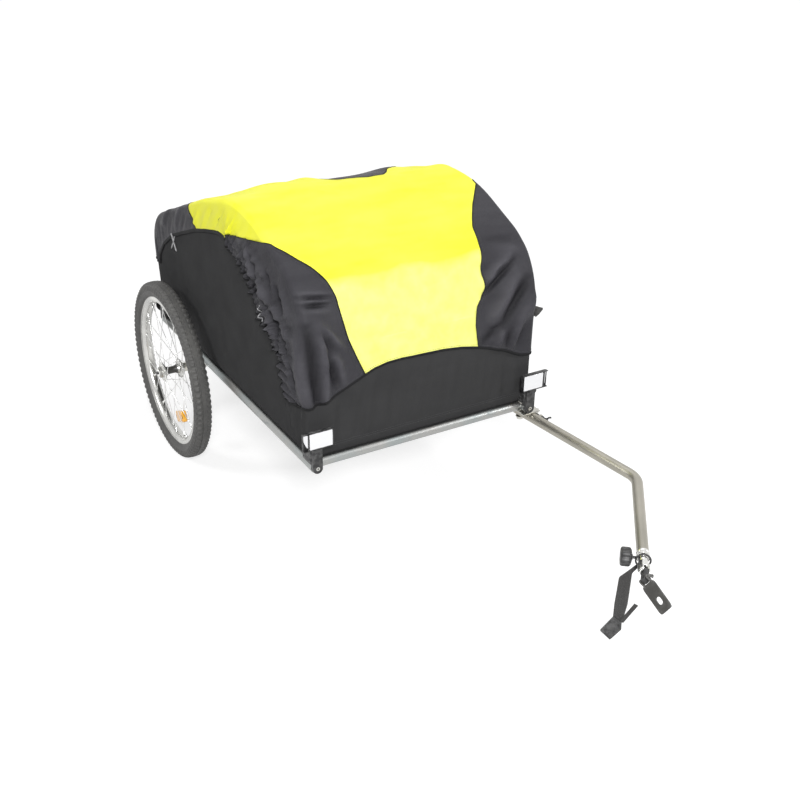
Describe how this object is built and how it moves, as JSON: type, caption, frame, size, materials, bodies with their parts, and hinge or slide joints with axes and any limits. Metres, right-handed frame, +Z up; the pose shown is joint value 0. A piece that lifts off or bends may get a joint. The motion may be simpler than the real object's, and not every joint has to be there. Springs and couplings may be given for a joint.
{
  "type": "bike cargo trailer",
  "caption": "Bicycle cargo trailer: tube frame, fabric tub with a lift-off rain cover, spoked wheels on quick-release axles, and a swinging tow arm with an axle hitch.",
  "frame": {"origin": "bottom centre of the whole trailer's box, on the ground under the tyres", "axes": "+Z up, -Y towards the towing bicycle, +X to the trailer's left side, which carries the tow arm"},
  "size_m": [0.8086, 1.7374, 0.8236],
  "materials": {
    "brushed_alloy": "brushed, clear anodised",
    "chrome": "polished",
    "zinc_steel": "zinc plated",
    "black_steel": "black, satin",
    "black_plastic": "moulded, fine grain",
    "tyre_rubber": "black, dull",
    "black_fabric": "coated woven polyester",
    "black_webbing": "woven webbing",
    "yellow_fabric": "coated woven polyester, high visibility",
    "white_lens": "clear over white prisms",
    "amber_lens": "translucent amber",
    "red_lens": "translucent red"
  },
  "bodies": {
    "chassis": {"arm_bracket": "zinc_steel", "axle_carrier": "zinc_steel", "axle_receiver_left": "zinc_steel", "axle_receiver_right": "zinc_steel", "base_frame": "brushed_alloy", "carrier_bolt_left_front": "zinc_steel", "carrier_bolt_left_rear": "zinc_steel", "carrier_bolt_right_front": "zinc_steel", "carrier_bolt_right_rear": "zinc_steel", "corner_knuckle_front_left": "black_plastic", "corner_knuckle_front_right": "black_plastic", "corner_knuckle_rear_left": "black_plastic", "corner_knuckle_rear_right": "black_plastic", "floor_panel": "black_plastic", "front_panel": "black_fabric", "pivot_bolt": "zinc_steel", "rear_panel": "black_fabric", "rear_reflector_left": "red_lens", "rear_reflector_right": "red_lens", "reflector_backing_left": "black_plastic", "reflector_backing_right": "black_plastic", "reflector_lens_left": "white_lens", "reflector_lens_right": "white_lens", "side_arch_left": "brushed_alloy", "side_arch_right": "brushed_alloy", "side_panel_left": "black_fabric", "side_panel_right": "black_fabric", "spreader_front": "brushed_alloy", "spreader_rear": "brushed_alloy", "stub_axle_left": "zinc_steel", "stub_axle_right": "zinc_steel"},
    "wheel_right": {"tyre_right": "tyre_rubber", "wheel_right": "chrome", "hub_bearing_right_outer": "zinc_steel", "hub_bearing_right_inner": "zinc_steel", "spoke_reflector_right": "amber_lens", "valve_right": "tyre_rubber"},
    "wheel_left": {"tyre_left": "tyre_rubber", "wheel_left": "chrome", "hub_bearing_left_outer": "zinc_steel", "hub_bearing_left_inner": "zinc_steel", "spoke_reflector_left": "amber_lens", "valve_left": "tyre_rubber"},
    "button_right": {"release_button_right": "black_plastic"},
    "button_left": {"release_button_left": "black_plastic"},
    "arm": {"tow_arm": "brushed_alloy", "arm_end_plug": "black_plastic", "hitch_collar": "chrome", "strap_ring": "black_plastic", "safety_strap": "black_webbing", "strap_buckle": "black_plastic"},
    "lock_pin": {"arm_lock_pin": "zinc_steel"},
    "knob": {"hitch_knob": "black_plastic"},
    "swivel": {"hitch_swivel": "zinc_steel", "yaw_pin": "zinc_steel"},
    "link": {"hitch_link": "zinc_steel"},
    "plate": {"axle_plate": "black_steel"},
    "pull_pin": {"hitch_pin": "black_steel"},
    "rain_cover": {"cover": "yellow_fabric"}
  },
  "joints": [
    {"name": "wheel_right_spin", "type": "hinge", "parent": "chassis", "child": "wheel_right", "pos_m": [-0.361, 0.61974, 0.249], "axis": [1, 0, 0], "continuous": true},
    {"name": "wheel_left_spin", "type": "hinge", "parent": "chassis", "child": "wheel_left", "pos_m": [0.361, 0.61974, 0.249], "axis": [1, 0, 0], "continuous": true},
    {"name": "button_right_press", "type": "slide", "parent": "chassis", "child": "button_right", "axis": [1, 0, 0], "range_m": [0, 0.004], "stiffness_N_per_m": 600, "springref_m": -0.002},
    {"name": "button_left_press", "type": "slide", "parent": "chassis", "child": "button_left", "axis": [-1, 0, 0], "range_m": [0, 0.004], "stiffness_N_per_m": 600, "springref_m": -0.002},
    {"name": "tow_arm_swing", "type": "hinge", "parent": "chassis", "child": "arm", "pos_m": [0.3035, -0.10126, 0.2815], "axis": [0, 0, 1], "range_deg": [-125, 0]},
    {"name": "lock_pin_pull", "type": "slide", "parent": "arm", "child": "lock_pin", "axis": [0.0958, -0.9954, 0], "range_m": [0, 0.008], "stiffness_N_per_m": 800, "springref_m": -0.002},
    {"name": "knob_turn", "type": "hinge", "parent": "arm", "child": "knob", "pos_m": [0.14803, -0.73567, 0.2775], "axis": [-0.776, 0.6307, 0], "continuous": true},
    {"name": "swivel_roll", "type": "hinge", "parent": "arm", "child": "swivel", "pos_m": [0.15118, -0.73179, 0.2815], "axis": [-0.6307, -0.776, 0], "range_deg": [-55, 35]},
    {"name": "link_yaw", "type": "hinge", "parent": "swivel", "child": "link", "pos_m": [0.11586, -0.77525, 0.2815], "axis": [-0.6357, 0.5166, 0.5736], "range_deg": [-50, 50]},
    {"name": "plate_pitch", "type": "hinge", "parent": "link", "child": "plate", "pos_m": [0.09821, -0.79698, 0.2815], "axis": [-0.4451, 0.3617, -0.8192], "range_deg": [-45, 45]},
    {"name": "pull_pin_out", "type": "slide", "parent": "plate", "child": "pull_pin", "axis": [0.4451, -0.3617, 0.8192], "range_m": [0, 0.028]},
    {"name": "cover_lift", "type": "slide", "parent": "chassis", "child": "rain_cover", "axis": [0, 0, 1], "range_m": [0, 0.45]}
  ]
}
